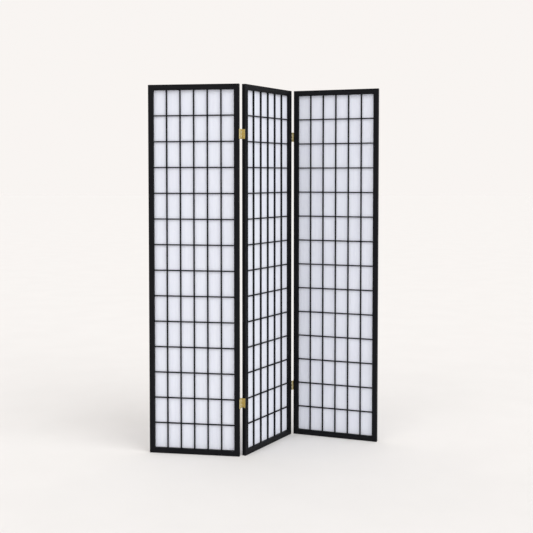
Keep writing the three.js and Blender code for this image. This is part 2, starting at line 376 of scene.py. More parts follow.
# %% [markdown]
# ## Fibre paper
#
# The paper is machine-made from long fibres that mostly run up the sheet, so it shows fine
# upright streaks, a few longer wandering strands and a soft cloudiness. A thin line where noise
# crosses its middle value makes a good strand, because such lines wander and never stop short.
# Paper lets light through, so a quarter of the surface is a Translucent shader.

# %% Paper with upright fibres
PAPER_WHITE = (0.895, 0.925, 0.988)
PAPER_SHADE = (0.82, 0.845, 0.925)
STRAND_WHITE = (0.945, 0.965, 0.995)
PAPER_TRANSLUCENCY = 0.26


def make_paper():
    finish = Finish("white_fibre_paper")
    sheet = finish.attribute("sheet")
    broad = finish.noise(finish.stretched(sheet, (150, 2.5, 1)), 1.0, 2, 0.5, 0.2)
    streaks = finish.noise(finish.stretched(sheet, (420, 9, 1)), 1.0, 3, 0.6, 0.3)
    threads = finish.noise(finish.stretched(sheet, (1500, 30, 1)), 1.0, 2, 0.5, 0.4)
    clouds = finish.noise(finish.stretched(sheet, (14, 7, 1)), 1.0, 4, 0.55)

    def strands(across, along, width, shift):
        lines = finish.noise(finish.stretched(sheet, (across, along, 1), shift), 1.0, 2, 0.5, 0.5)
        off_line = finish.maths("ABSOLUTE", finish.maths("SUBTRACT", lines, 0.5))
        return finish.ramp(off_line, width, 0.0)

    long_strands = strands(60, 5, 0.008, (0.0, 0.0, 3.0))
    short_strands = strands(150, 18, 0.010, (0.4, 0.2, 8.0))
    strand = finish.maths("MAXIMUM", long_strands, finish.maths("MULTIPLY", short_strands, 0.6))

    soft = finish.maths("MULTIPLY_ADD", finish.ramp(broad, 0.35, 0.65), 0.40,
                        finish.maths("MULTIPLY", finish.ramp(clouds, 0.3, 0.7), 0.25))
    shade = finish.maths("MULTIPLY_ADD", finish.ramp(streaks, 0.3, 0.7), 0.35, soft)
    shade = finish.maths("MULTIPLY_ADD", finish.ramp(threads, 0.35, 0.7), 0.25, shade, clamp=True)
    colour = finish.blend(shade, PAPER_WHITE, PAPER_SHADE)
    colour = finish.blend(finish.maths("MULTIPLY", strand, 0.42), colour, STRAND_WHITE)

    relief = finish.maths("MULTIPLY_ADD", threads, 0.5, finish.maths("MULTIPLY", strand, 0.7))
    relief = finish.maths("MULTIPLY_ADD", streaks, 0.6, relief)
    normal = finish.bump(relief, 0.00012, 0.6)
    finish.set(Base_Color=colour, Roughness=0.92, Specular_IOR_Level=0.25, Normal=normal)
    through = finish.add("ShaderNodeBsdfTranslucent", {"Color": colour, "Normal": normal})
    mixed = finish.add("ShaderNodeMixShader", {
        0: PAPER_TRANSLUCENCY, 1: finish.surface.outputs[0], 2: through.outputs[0],
    })
    finish.tree.links.new(mixed.outputs[0], finish.output.inputs["Surface"])
    return finish.material


paper = make_paper()
print("made", paper.name, "with", len(paper.node_tree.nodes), "nodes")

# %% [markdown]
# ## Brass
#
# The hinges are stamped from brass sheet that was rolled with its grain upright, then lightly
# lacquered. Old lacquer lets the brass dull in patches towards olive, most where fingers and
# dust reach. The pins are turned, so their marks run round them, and the screws are brass-plated
# steel, a shade paler and brighter. One function makes all three from a few named values.

# %% Brass for leaves, pins and screws
BRASS_BRIGHT = (0.72, 0.61, 0.315)
BRASS_DULL = (0.40, 0.35, 0.155)
SCREW_BRIGHT = (0.76, 0.67, 0.39)
SCREW_DULL = (0.38, 0.34, 0.19)


def make_brass(name, bright, dull, line_scale, smooth, rough):
    finish = Finish(name)
    place = finish.object_place()
    lines = finish.noise(finish.stretched(place, line_scale), 1.0, 3, 0.6)
    patches = finish.noise(place, 160.0, 4, 0.62, 0.4)
    specks = finish.noise(place, 1400.0, 2, 0.5)
    tarnish = finish.ramp(patches, 0.42, 0.72)
    spots = finish.ramp(specks, 0.66, 0.74)
    aged = finish.maths("MAXIMUM", finish.maths("MULTIPLY", tarnish, 0.7), spots, clamp=True)
    colour = finish.blend(aged, bright, dull)
    gloss = finish.ramp(lines, 0.3, 0.7, smooth, rough)
    gloss = finish.maths("ADD", gloss, finish.maths("MULTIPLY", aged, 0.16))
    relief = finish.maths("MULTIPLY_ADD", aged, 0.4, lines)
    finish.set(
        Base_Color=colour, Metallic=1.0, Roughness=gloss,
        Normal=finish.bump(relief, 0.00003, 0.5),
    )
    return finish.material


leaf_brass = make_brass("rolled_brass_sheet", BRASS_BRIGHT, BRASS_DULL,
                        (2400, 2400, 70), 0.24, 0.40)
pin_brass = make_brass("turned_brass_pin", BRASS_BRIGHT, BRASS_DULL, (90, 90, 3200), 0.20, 0.34)
screw_brass = make_brass("plated_screw", SCREW_BRIGHT, SCREW_DULL,
                         (1100, 1100, 1100), 0.20, 0.36)
print("made", leaf_brass.name, pin_brass.name, screw_brass.name)

# %% [markdown]
# ## Frame members with eased edges
#
# A stile or a rail is a planed length of wood whose long edges were eased with a plane. A box
# with a Bevel modifier would round its ends as much as its edges, but a rail's end must stay
# nearly square to close on the stile. So a member is built as a stack of sections along the
# grain: the section's corners carry the long arris, and the first and last few sections shrink
# along a quarter circle for the end's own, smaller one.

# %% A length of planed wood
MEMBER_ARRIS = 0.0012
STILE_END_ARRIS = 0.0009
RAIL_END_ARRIS = 0.00025
CORNER_STEPS = 4


def rounded_section(width, depth, radius):
    """Points round an oblong with rounded corners, anticlockwise, about its middle."""
    points = []
    for index, (sx, sy) in enumerate([(1, 1), (-1, 1), (-1, -1), (1, -1)]):
        centre = (sx * (width / 2 - radius), sy * (depth / 2 - radius))
        for step in range(CORNER_STEPS + 1):
            angle = math.radians(90 * index + 90 * step / CORNER_STEPS)
            points.append((centre[0] + radius * math.cos(angle),
                           centre[1] + radius * math.sin(angle)))
    return points


def planed_length(length, width, depth, arris, end_arris):
    """Vertices and faces of a member about its own middle, with its grain along z."""
    quarter = [math.radians(90 * k / CORNER_STEPS) for k in range(CORNER_STEPS + 1)]
    ease = [(end_arris * (1 - math.cos(a)), end_arris * (1 - math.sin(a))) for a in quarter]
    stations = [(z - length / 2, inset) for z, inset in ease]
    stations += [(length / 2 - z, inset) for z, inset in reversed(ease)]
    vertices = []
    for z, inset in stations:
        section = rounded_section(width - 2 * inset, depth - 2 * inset, arris - inset)
        vertices += [(x, y, z) for x, y in section]
    ring = 4 * (CORNER_STEPS + 1)
    faces = [tuple(reversed(range(ring)))]
    for level in range(len(stations) - 1):
        for k in range(ring):
            a, b = level * ring + k, level * ring + (k + 1) % ring
            faces.append((a, b, b + ring, a + ring))
    faces.append(tuple(range(ring * (len(stations) - 1), ring * len(stations))))
    return np.array(vertices), faces


def make_member(name, size, centre, lies_across, panel, end_arris, wood):
    """A member in its panel's place. size is width, depth and length along the grain."""
    width, depth, length = size
    vertices, faces = planed_length(length, width, depth, MEMBER_ARRIS, end_arris)
    mesh = make_mesh(name, vertices, faces)
    set_vectors(mesh, "bar", vertices)
    set_vectors(mesh, "bar_half", [[width / 2, depth / 2, length / 2]] * len(vertices))
    shift = [wood.uniform(-WOOD_SPREAD, WOOD_SPREAD) for _ in range(3)]
    set_vectors(mesh, "bar_shift", [shift] * len(vertices))
    lay = Matrix.Rotation(math.radians(90), 4, "Y") if lies_across else Matrix.Identity(4)
    mesh.transform(panel.matrix @ Matrix.Translation(centre) @ lay)
    smooth_by_area(mesh)
    return make_object(name, mesh, lacquer)


# %% Two stiles and two rails for each panel
def finish_piece(piece, body, slot, *nodes):
    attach(piece, body)
    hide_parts(*nodes)
    return piece


def make_frame(panel, wood):
    middle_depth = panel.thickness / 2
    stile_width = panel.opening_left
    opening = panel.opening_right - panel.opening_left
    rail_height = panel.opening_bottom
    members = []
    for side, across in (("left", stile_width / 2), ("right", panel.width - stile_width / 2)):
        size = (stile_width, panel.thickness, panel.height)
        centre = (across, middle_depth, panel.height / 2)
        members.append((f"{side}_stile", size, centre, False, STILE_END_ARRIS))
    for level, up in (("bottom", rail_height / 2), ("top", panel.height - rail_height / 2)):
        size = (rail_height, panel.thickness, opening)
        centre = (panel.width / 2, middle_depth, up)
        members.append((f"{level}_rail", size, centre, True, RAIL_END_ARRIS))
    for part, size, centre, lies_across, end_arris in members:
        node = f"{panel.name}_{part}"
        piece = make_member(f"lacquered_{node}", size, centre, lies_across, panel, end_arris, wood)
        finish_piece(piece, panel.name, "black_lacquer", node)
    print(panel.name, "has", len(members), "members round an opening of",
          round(opening * 1000, 1), "mm")


wood_choice = random.Random(17)
for panel in panels.values():
    make_frame(panel, wood_choice)

# %% [markdown]
# ## The lattice, made by a rule
#
# Eighteen bars fill each panel, and they follow one rule: the same bar again at an even step.
# That is work for Geometry Nodes. The tree draws a bar's section with filleted corners, extrudes
# it along the grain, notes each point's place in the bar, sets copies along a line of points,
# gives each copy its own piece of wood and turns the row into the panel's place. An Array
# modifier could repeat a bar too, but it could not give each copy its own random shift.

# %% A tree that sets bars in a row
ARRIS_FACES = 2
SAME_POINT = 1e-6  # metres
BAR_ROW_INPUTS = [
    ("Length", "NodeSocketFloat"), ("Face", "NodeSocketFloat"), ("Depth", "NodeSocketFloat"),
    ("Arris", "NodeSocketFloat"), ("Count", "NodeSocketInt"), ("First", "NodeSocketVector"),
    ("Step", "NodeSocketVector"), ("Lay", "NodeSocketVector"), ("Place", "NodeSocketVector"),
    ("Heading", "NodeSocketFloat"), ("Seed", "NodeSocketInt"), ("Finish", "NodeSocketMaterial"),
]


def new_geometry_tree(title, inputs):
    tree = bpy.data.node_groups.new(title, "GeometryNodeTree")
    for name, kind in inputs:
        tree.interface.new_socket(name, in_out="INPUT", socket_type=kind)
    tree.interface.new_socket("Geometry", in_out="OUTPUT", socket_type="NodeSocketGeometry")
    return tree


def run_tree(piece, tree, values):
    """Runs a tree on an object with these inputs, and leaves a plain mesh."""
    modifier = piece.modifiers.new(tree.name, "NODES")
    modifier.node_group = tree
    for item in tree.interface.items_tree:
        if item.in_out == "INPUT" and item.name in values:
            modifier[item.identifier] = values[item.name]
    return settle(piece)


def make_bar_row_tree():
    tree = new_geometry_tree("bars set in a row", BAR_ROW_INPUTS)
    build = Tree(tree)
    given = build.add("NodeGroupInput").outputs

    section = build.add("GeometryNodeCurvePrimitiveQuadrilateral",
                        {"Width": given["Face"], "Height": given["Depth"]}).outputs[0]
    eased = build.add("GeometryNodeFilletCurve", {"Curve": section, "Radius": given["Arris"]})
    eased.mode = "POLY"
    eased.inputs["Count"].default_value = ARRIS_FACES
    end_face = build.add("GeometryNodeFillCurve", {"Curve": eased.outputs[0]})
    end_face.mode = "NGONS"
    up = build.add("ShaderNodeCombineXYZ", {"Z": given["Length"]}).outputs[0]
    body = build.add("GeometryNodeExtrudeMesh", {
        "Mesh": end_face.outputs[0], "Offset": up, "Offset Scale": 1.0, "Individual": False,
    })
    other_end = build.add("GeometryNodeFlipFaces", {"Mesh": end_face.outputs[0]}).outputs[0]
    joined = build.add("GeometryNodeJoinGeometry")
    for part in (body.outputs["Mesh"], other_end):
        tree.links.new(part, joined.inputs[0])
    closed = build.add("GeometryNodeMergeByDistance",
                       {"Geometry": joined.outputs[0], "Distance": SAME_POINT}).outputs[0]
    half_length = build.maths("MULTIPLY", given["Length"], 0.5)
    down = build.add("ShaderNodeCombineXYZ", {"Z": build.maths("MULTIPLY", half_length, -1.0)})
    bar = build.add("GeometryNodeTransform",
                    {"Geometry": closed, "Translation": down.outputs[0]}).outputs[0]

    half = build.add("ShaderNodeCombineXYZ", {
        "X": build.maths("MULTIPLY", given["Face"], 0.5),
        "Y": build.maths("MULTIPLY", given["Depth"], 0.5),
        "Z": half_length,
    }).outputs[0]
    where = build.add("GeometryNodeInputPosition").outputs[0]
    for name, value in (("bar", where), ("bar_half", half)):
        bar = build.add("GeometryNodeStoreNamedAttribute",
                        {"Geometry": bar, "Name": name, "Value": value},
                        data_type="FLOAT_VECTOR", domain="POINT").outputs[0]

    spots = build.add("GeometryNodeMeshLine", {
        "Count": given["Count"], "Start Location": given["First"], "Offset": given["Step"],
    }).outputs[0]
    lay = build.add("FunctionNodeEulerToRotation", {0: given["Lay"]}).outputs[0]
    copies = build.add("GeometryNodeInstanceOnPoints",
                       {"Points": spots, "Instance": bar, "Rotation": lay}).outputs[0]
    own_wood = build.add("FunctionNodeRandomValue", data_type="FLOAT_VECTOR")
    own_wood.inputs["Min"].default_value = (-WOOD_SPREAD,) * 3
    own_wood.inputs["Max"].default_value = (WOOD_SPREAD,) * 3
    build.feed(own_wood.inputs["Seed"], given["Seed"])
    copies = build.add("GeometryNodeStoreNamedAttribute",
                       {"Geometry": copies, "Name": "bar_shift", "Value": own_wood.outputs[0]},
                       data_type="FLOAT_VECTOR", domain="INSTANCE").outputs[0]
    real = build.add("GeometryNodeRealizeInstances", {"Geometry": copies}).outputs[0]
    heading = build.add("ShaderNodeCombineXYZ", {"Z": given["Heading"]}).outputs[0]
    placed = build.add("GeometryNodeTransform", {
        "Geometry": real, "Translation": given["Place"], "Rotation": heading,
    }).outputs[0]
    finished = build.add("GeometryNodeSetMaterial",
                         {"Geometry": placed, "Material": given["Finish"]}).outputs[0]
    build.add("NodeGroupOutput", {0: finished})
    return tree


bar_row_tree = make_bar_row_tree()
print("tree", bar_row_tree.name, "has", len(bar_row_tree.nodes), "nodes")

# %% [markdown]
# The bars divide the opening into equal clear spaces, as a joiner sets them out: the opening
# and one bar's width are shared by the number of spaces, and the first bar is centred half a
# bar short of the first division. Uprights stand a little proud of the cross bars, which are
# halved into their backs.

# %% Uprights and cross bars for each panel
COLUMNS = 6
ROWS = 14
UPRIGHT_FACE = 0.0062
CROSS_FACE = 0.0054
CROSS_SETBACK = 0.0014
BACK_RELIEF = 0.0001  # keeps the cross bars' backs just inside the uprights'
BAR_ARRIS = 0.0004
BAR_HOUSING = 0.001


def make_bars(name, panel, values):
    start = make_object(name, bpy.data.meshes.new(name))
    values.update({
        "Arris": BAR_ARRIS, "Place": panel.matrix.to_translation(),
        "Heading": headings[panel.name], "Finish": lacquer,
    })
    piece = run_tree(start, bar_row_tree, values)
    smooth_by_area(piece.data)
    return finish_piece(piece, panel.name, "black_lacquer", f"{panel.name}_lattice")


def make_lattice(panel, seed):
    wide = panel.opening_right - panel.opening_left
    tall = panel.opening_top - panel.opening_bottom
    column = (wide + UPRIGHT_FACE) / COLUMNS
    row = (tall + CROSS_FACE) / ROWS
    upright_depth = panel.lattice_back - panel.lattice_front
    cross_depth = upright_depth - CROSS_SETBACK - BACK_RELIEF
    uprights = make_bars(f"{panel.name}_lattice_uprights", panel, {
        "Length": tall + 2 * BAR_HOUSING, "Face": UPRIGHT_FACE, "Depth": upright_depth,
        "Count": COLUMNS - 1,
        "First": (panel.opening_left - UPRIGHT_FACE / 2 + column,
                  panel.lattice_front + upright_depth / 2, panel.height / 2),
        "Step": (column, 0.0, 0.0), "Lay": (0.0, 0.0, 0.0), "Seed": seed,
    })
    crosses = make_bars(f"{panel.name}_lattice_cross_bars", panel, {
        "Length": wide + 2 * BAR_HOUSING, "Face": CROSS_FACE, "Depth": cross_depth,
        "Count": ROWS - 1,
        "First": (panel.width / 2, panel.lattice_front + CROSS_SETBACK + cross_depth / 2,
                  panel.opening_bottom - CROSS_FACE / 2 + row),
        "Step": (0.0, 0.0, row), "Lay": (0.0, math.radians(90), 0.0), "Seed": seed + 50,
    })
    print(panel.name, "lattice:", count_triangles(uprights.data) + count_triangles(crosses.data),
          "triangles, clear spaces", round((column - UPRIGHT_FACE) * 1000, 1), "by",
          round((row - CROSS_FACE) * 1000, 1), "mm")


for number, panel in enumerate(panels.values()):
    make_lattice(panel, 3 + number)

# %% [markdown]
# ## Sheets of paper
#
# Each sheet is one length of paper, glued to the backs of the bars and held in a groove all
# round. Glue and damp leave it a little slack, so it swells by a fraction of a millimetre in
# every space, some spaces forwards and some backwards, while it stays flat along the bars. A
# cloth simulation could find that shape, but the rule is simple enough to write down: a pillow
# of two sines in each space, with a height of its own.

# %% Paper that swells a little in every space
SWELL = 0.00035
STEPS_ACROSS = 8
STEPS_UP = 12
PAPER_HOLD = 0.003  # how far the sheet runs on behind the frame's inner edge
SHEET_SHIFT = 4.0  # metres between the pieces of pattern that the three sheets use


def spaced(start, end, count, steps, hold):
    """Lines across one row of spaces, with one more at each end for the held margin."""
    inner = np.linspace(start, end, count * steps + 1)
    return np.concatenate([[start - hold], inner, [end + hold]])


def make_sheet(panel, seed):
    chance = np.random.default_rng(seed)
    swell = chance.uniform(-1, 1, (COLUMNS, ROWS)) * SWELL
    across = spaced(panel.opening_left, panel.opening_right, COLUMNS, STEPS_ACROSS, PAPER_HOLD)
    up = spaced(panel.opening_bottom, panel.opening_top, ROWS, STEPS_UP, PAPER_HOLD)
    column = (panel.opening_right - panel.opening_left) / COLUMNS
    row = (panel.opening_top - panel.opening_bottom) / ROWS
    fronts = []
    for z in up:
        v = np.clip((z - panel.opening_bottom) / row, 0, ROWS - 1e-9)
        for x in across:
            u = np.clip((x - panel.opening_left) / column, 0, COLUMNS - 1e-9)
            rise = swell[int(u), int(v)] * math.sin(math.pi * (u % 1)) * math.sin(math.pi * (v % 1))
            fronts.append((x, panel.paper_front + rise, z))
    thickness = panel.paper_back - panel.paper_front
    backs = [(x, y + thickness, z) for x, y, z in fronts]
    wide, tall = len(across), len(up)
    total = len(fronts)
    faces = []
    for j in range(tall - 1):
        for i in range(wide - 1):
            a = j * wide + i
            front = (a, a + 1, a + wide + 1, a + wide)
            faces.append(front)
            faces.append(tuple(total + k for k in reversed(front)))
    rim = [j * wide for j in range(tall)] + [(tall - 1) * wide + i for i in range(1, wide)]
    rim += [j * wide + wide - 1 for j in range(tall - 2, -1, -1)]
    rim += [i for i in range(wide - 2, 0, -1)]
    for a, b in zip(rim, rim[1:] + rim[:1]):
        faces.append((a, b, b + total, a + total))
    name = f"{panel.name}_paper_sheet"
    mesh = make_mesh(name, fronts + backs, faces)
    set_vectors(mesh, "sheet", [(x + seed * SHEET_SHIFT, z, 0.0) for x, _, z in fronts + backs])
    mesh.transform(panel.matrix)
    mesh.polygons.foreach_set("use_smooth", [True] * len(mesh.polygons))
    piece = make_object(name, mesh, paper)
    finish_piece(piece, panel.name, "paper", f"{panel.name}_paper")
    print(name, "has", count_triangles(mesh), "triangles and swells up to", SWELL * 1000, "mm")


for number, panel in enumerate(panels.values()):
    make_sheet(panel, number + 1)

# %% [markdown]
# ## A double-action hinge
#
# An outer leaf starts as a flat brass blank with three tabs, and the tabs are rolled round a
# mandrel to make knuckles. Doing the same in a mesh gives the real shape for little work: the
# sheet's middle line runs up the panel's end and curls into an open ring, cells are left out
# where the other leaf's knuckles go, and Solidify gives the sheet its thickness. A cone cut
# through it makes each countersink, and a small bevel breaks the stamped edges.

# %% The hinge's sizes, read from the frame and named
middle_panel, last_panel = panels["panel_2"], panels["panel_3"]
left_leaf_box = middle_panel.box("fold_2_3_upper_hinge_left_leaf")
rear_pin_box = last_panel.box("fold_2_3_upper_hinge_rear_pin")
front_pin_box = last_panel.box("fold_2_3_upper_hinge_front_pin")

PIN_X = -float(rear_pin_box[0][0] + rear_pin_box[1][0]) / 2
REAR_PIN_Y = float(rear_pin_box[0][1] + rear_pin_box[1][1]) / 2
FRONT_PIN_Y = float(front_pin_box[0][1] + front_pin_box[1][1]) / 2
HINGE_HEIGHT = float(left_leaf_box[1][2] - left_leaf_box[0][2])
HINGE_GAP = 2 * PIN_X
SEAT = float(left_leaf_box[0][0] - middle_panel.width)
LEAF_FREE_EDGE = float(left_leaf_box[1][1])
THICKNESS = float(middle_panel.thickness)
LEAF = 0.0015
KNUCKLE_RADIUS = PIN_X - SEAT
BORE_RADIUS = KNUCKLE_RADIUS - LEAF
PIN_RADIUS = 0.0019
KNUCKLES = 5
KNUCKLE_PLAY = 0.00022
PIN_HEAD_RADIUS = float(rear_pin_box[1][0] - rear_pin_box[0][0]) / 2
PIN_HEAD = float(rear_pin_box[1][2] - rear_pin_box[0][2]) / 2 - HINGE_HEIGHT / 2
SCREW_INSET = 0.012
SCREW_HEAD_RADIUS = 0.0031
SCREW_HEAD_DEPTH = 0.0013
SCREW_SHANK_RADIUS = 0.0014
SCREW_LENGTH = 0.015
print("hinge:", [round(v * 1000, 2) for v in (PIN_X, REAR_PIN_Y, FRONT_PIN_Y, HINGE_HEIGHT)])
print("knuckle radius", round(KNUCKLE_RADIUS * 1000, 2), "bore", round(BORE_RADIUS * 1000, 2))


def knuckle_span(index):
    """The lowest and highest point of a knuckle, from the hinge's middle."""
    step = HINGE_HEIGHT / KNUCKLES
    low = -HINGE_HEIGHT / 2 + index * step
    return (low + (KNUCKLE_PLAY if index else 0),
            low + step - (KNUCKLE_PLAY if index < KNUCKLES - 1 else 0))


# %% Rolling an outer leaf from its blank
PLATE_STEPS = 6
ROLL_STEPS = 26
ROLL_TURN = math.radians(303)
FLAT_LIMIT = math.radians(1)  # faces that turn by less than this are one flat face


def blank_line():
    """The sheet's middle line in plan, from its free edge to the end of the roll."""
    x = SEAT + LEAF / 2
    radius = PIN_X - x
    line = [(x, y) for y in np.linspace(LEAF_FREE_EDGE, 0.0, PLATE_STEPS + 1)]
    plate_points = len(line)
    line.append((x, FRONT_PIN_Y / 2))
    for step in range(ROLL_STEPS + 1):
        angle = math.pi + ROLL_TURN * step / ROLL_STEPS
        line.append((PIN_X + radius * math.cos(angle), FRONT_PIN_Y + radius * math.sin(angle)))
    return line, plate_points


def rolled_blank():
    line, plate_points = blank_line()
    levels = []
    for index in range(0, KNUCKLES, 2):
        levels += list(knuckle_span(index))
    vertices = [(x, y, z) for z in levels for x, y in line]
    count = len(line)
    faces = []
    for row in range(len(levels) - 1):
        has_roll = row % 2 == 0
        columns = count - 1 if has_roll else plate_points - 1
        for column in range(columns):
            a = row * count + column
            faces.append((a, a + 1, a + count + 1, a + count))
    mesh = make_mesh("rolled_blank", vertices, faces)
    loose = bmesh.new()
    loose.from_mesh(mesh)
    bmesh.ops.delete(loose, geom=[v for v in loose.verts if not v.link_faces], context="VERTS")
    bmesh.ops.dissolve_limit(loose, angle_limit=FLAT_LIMIT, verts=loose.verts, edges=loose.edges)
    bmesh.ops.recalc_face_normals(loose, faces=loose.faces)
    loose.to_mesh(mesh)
    loose.free()
    return mesh


def turned(profile, steps):
    """Turns a profile of (radius, height) points round z. It starts and ends on the axis."""
    vertices = [(0, 0, profile[0][1])]
    for radius, height in profile[1:-1]:
        for k in range(steps):
            angle = 2 * math.pi * k / steps
            vertices.append((radius * math.cos(angle), radius * math.sin(angle), height))
    vertices.append((0, 0, profile[-1][1]))
    rings = len(profile) - 2
    last = len(vertices) - 1
    faces = []
    for k in range(steps):
        n = (k + 1) % steps
        faces.append((0, 1 + n, 1 + k))
        for ring in range(rings - 1):
            a, b = 1 + ring * steps + k, 1 + ring * steps + n
            faces.append((a, b, b + steps, a + steps))
        top = 1 + (rings - 1) * steps
        faces.append((top + k, top + n, last))
    return vertices, faces


def cut_with(piece, cutter, operation="DIFFERENCE"):
    """Applies an exact boolean at once and throws the cutter away."""
    knife = piece.modifiers.new("cut", "BOOLEAN")
    knife.operation = operation
    knife.solver = "EXACT"
    knife.object = cutter
    settle(piece)
    discard(cutter)


def screw_heights():
    return [-HINGE_HEIGHT / 2 + SCREW_INSET, HINGE_HEIGHT / 2 - SCREW_INSET]


SCREW_Y = THICKNESS / 2
HOLE_ROOM = 0.00012
EDGE_BREAK = 0.00014
SHARP_EDGE = math.radians(60)  # edges that turn by more are broken
OVERRUN = 0.001  # how far a cutting shape runs on past what it cuts


def break_edges(piece, width=EDGE_BREAK):
    bevel = piece.modifiers.new("broken edges", "BEVEL")
    bevel.width = width
    bevel.segments = 2
    bevel.limit_method = "ANGLE"
    bevel.angle_limit = SHARP_EDGE
    settle(piece)


def make_outer_leaf():
    """An outer leaf on the right end of a panel, whose front corner is the origin."""
    piece = make_object("outer_leaf_pattern", rolled_blank(), leaf_brass)
    shell = piece.modifiers.new("sheet", "SOLIDIFY")
    shell.thickness = LEAF
    shell.offset = 0.0
    shell.use_even_offset = True
    settle(piece)
    face = SEAT + LEAF
    for z in screw_heights():
        wide, narrow = SCREW_HEAD_RADIUS + HOLE_ROOM, SCREW_SHANK_RADIUS + HOLE_ROOM
        over = wide + (wide - narrow) * OVERRUN / SCREW_HEAD_DEPTH
        profile = [(0, -LEAF - OVERRUN), (narrow, -LEAF - OVERRUN),
                   (narrow, -SCREW_HEAD_DEPTH), (over, OVERRUN), (0, OVERRUN)]
        cone = make_object("countersink", make_mesh("countersink", *turned(profile, 32)))
        cone.data.transform(Matrix.Translation((face, SCREW_Y, z))
                            @ Matrix.Rotation(math.radians(90), 4, "Y"))
        cut_with(piece, cone)
    break_edges(piece)
    return piece


outer_leaf = make_outer_leaf()
print("an outer leaf has", count_triangles(outer_leaf.data), "triangles")

# %% [markdown]
# The middle leaf carries a row of knuckles on both edges, in the gaps that the outer leaves'
# knuckles leave. It can't be rolled from one sheet and stay in the middle of the gap, so makers
# draw it as one long bar with a tube on each edge, mill the gaps and saw it to length. It is
# made here in that order by exact booleans. Every cutter runs on past what it cuts, because
# two faces in one plane are what an exact boolean handles worst.

# %% The middle leaf
def box_mesh(name, *boxes):
    """A mesh of boxes that don't touch, each given by its low and high corners."""
    shape = bmesh.new()
    for low, high in boxes:
        low, high = Vector(low), Vector(high)
        place = Matrix.Translation((low + high) / 2) @ Matrix.Diagonal((*(high - low), 1))
        bmesh.ops.create_cube(shape, size=1.0, matrix=place)
    mesh = bpy.data.meshes.new(name)
    shape.to_mesh(mesh)
    shape.free()
    return mesh


def rod(name, x, y, reach, radius, steps=44):
    """An upright round bar that reaches as far below z = 0 as above it."""
    shape = bmesh.new()
    bmesh.ops.create_cone(shape, cap_ends=True, cap_tris=False, segments=steps, radius1=radius,
                          radius2=radius, depth=2 * reach, matrix=Matrix.Translation((x, y, 0)))
    mesh = bpy.data.meshes.new(name)
    shape.to_mesh(mesh)
    shape.free()
    return make_object(name, mesh)


def make_middle_leaf():
    half = LEAF / 2
    clear = KNUCKLE_RADIUS + KNUCKLE_PLAY
    tall = HINGE_HEIGHT / 2
    piece = make_object("middle_leaf_pattern", box_mesh(
        "middle_leaf_pattern", ((PIN_X - half, FRONT_PIN_Y, -tall - OVERRUN),
                                (PIN_X + half, REAR_PIN_Y, tall + OVERRUN))), leaf_brass)
    for end, radius, operation in ((2, KNUCKLE_RADIUS, "UNION"), (3, BORE_RADIUS, "DIFFERENCE")):
        reach = tall + end * OVERRUN
        for y in (FRONT_PIN_Y, REAR_PIN_Y):
            cut_with(piece, rod("tube", PIN_X, y, reach, radius), operation)
    far = tall + 4 * OVERRUN
    notches = []
    for index in range(0, KNUCKLES, 2):
        low = knuckle_span(index - 1)[1] if index else -far
        high = knuckle_span(index + 1)[0] if index < KNUCKLES - 1 else far
        for inner, outer in ((FRONT_PIN_Y + clear, FRONT_PIN_Y - clear),
                             (REAR_PIN_Y - clear, REAR_PIN_Y + clear)):
            notches.append(((PIN_X - clear, min(inner, outer), low),
                            (PIN_X + clear, max(inner, outer), high)))
    cut_with(piece, make_object("notches", box_mesh("notches", *notches)))
    ends = [((PIN_X - 2 * clear, FRONT_PIN_Y - 2 * clear, low),
             (PIN_X + 2 * clear, REAR_PIN_Y + 2 * clear, high))
            for low, high in ((-far - OVERRUN, -tall), (tall, far + OVERRUN))]
    cut_with(piece, make_object("ends", box_mesh("ends", *ends)))
    break_edges(piece)
    return piece


middle_leaf = make_middle_leaf()
print("a middle leaf has", count_triangles(middle_leaf.data), "triangles")

# %% [markdown]
# ## Pins and screws
#
# Both are turned pieces, so each starts as a profile. A pin's ends are domed. A screw's head is
# sunk to a cone and has a cross recess, cut by two tapered wedges. Every copy of each is set by
# a Geometry Nodes tree on a mesh of single points: each point says which way its piece faces,
# and a fixed seed turns every screw to an angle of its own, as a hand driver leaves them.

# %% Patterns for a pin and a screw
DOME_STEPS = 6
TURN_STEPS = 36
DOME_FOOT = 0.25  # the share of a head's height that is its upright rim
UNDERCUT = 0.96  # how much narrower a head is below, as a share of its width


def make_pin_pattern():
    half = HINGE_HEIGHT / 2 + KNUCKLE_PLAY
    rise = PIN_HEAD - KNUCKLE_PLAY
    dome = []
    for step in range(DOME_STEPS):
        angle = math.radians(90 * step / DOME_STEPS)
        lift = DOME_FOOT + (1 - DOME_FOOT) * math.sin(angle)
        dome.append((PIN_HEAD_RADIUS * math.cos(angle), half + rise * lift))
    top = [(PIN_RADIUS, half), (PIN_HEAD_RADIUS * UNDERCUT, half)] + dome + [(0, half + rise)]
    bottom = [(radius, -height) for radius, height in reversed(top)]
    mesh = make_mesh("pin_pattern", *turned(bottom + top, TURN_STEPS))
    smooth_by_area(mesh)
    return make_object("pin_pattern", mesh, pin_brass)


RECESS_WIDTH = 0.0009
RECESS_SPAN = 0.0036
RECESS_DEPTH = 0.0011
RECESS_TAPER = (0.45, 0.6)  # the blade's size at the bottom, along and across
BLADE_RISE = 0.0004
SCREW_RIM = 0.00012
SCREW_BREAK = 0.00006
SHANK_SHARE = 0.74  # the share of a screw's length before its point begins


def recess_wedge(turn):
    """A tapered blade, wide at the head's face and narrow at the bottom."""
    mesh = box_mesh("blade", ((-RECESS_SPAN / 2, -RECESS_WIDTH / 2, -RECESS_DEPTH),
                              (RECESS_SPAN / 2, RECESS_WIDTH / 2, BLADE_RISE)))
    for vertex in mesh.vertices:
        if vertex.co.z < 0:
            vertex.co.x *= RECESS_TAPER[0]
            vertex.co.y *= RECESS_TAPER[1]
    mesh.transform(Matrix.Rotation(turn, 4, "Z"))
    return make_object("blade", mesh)


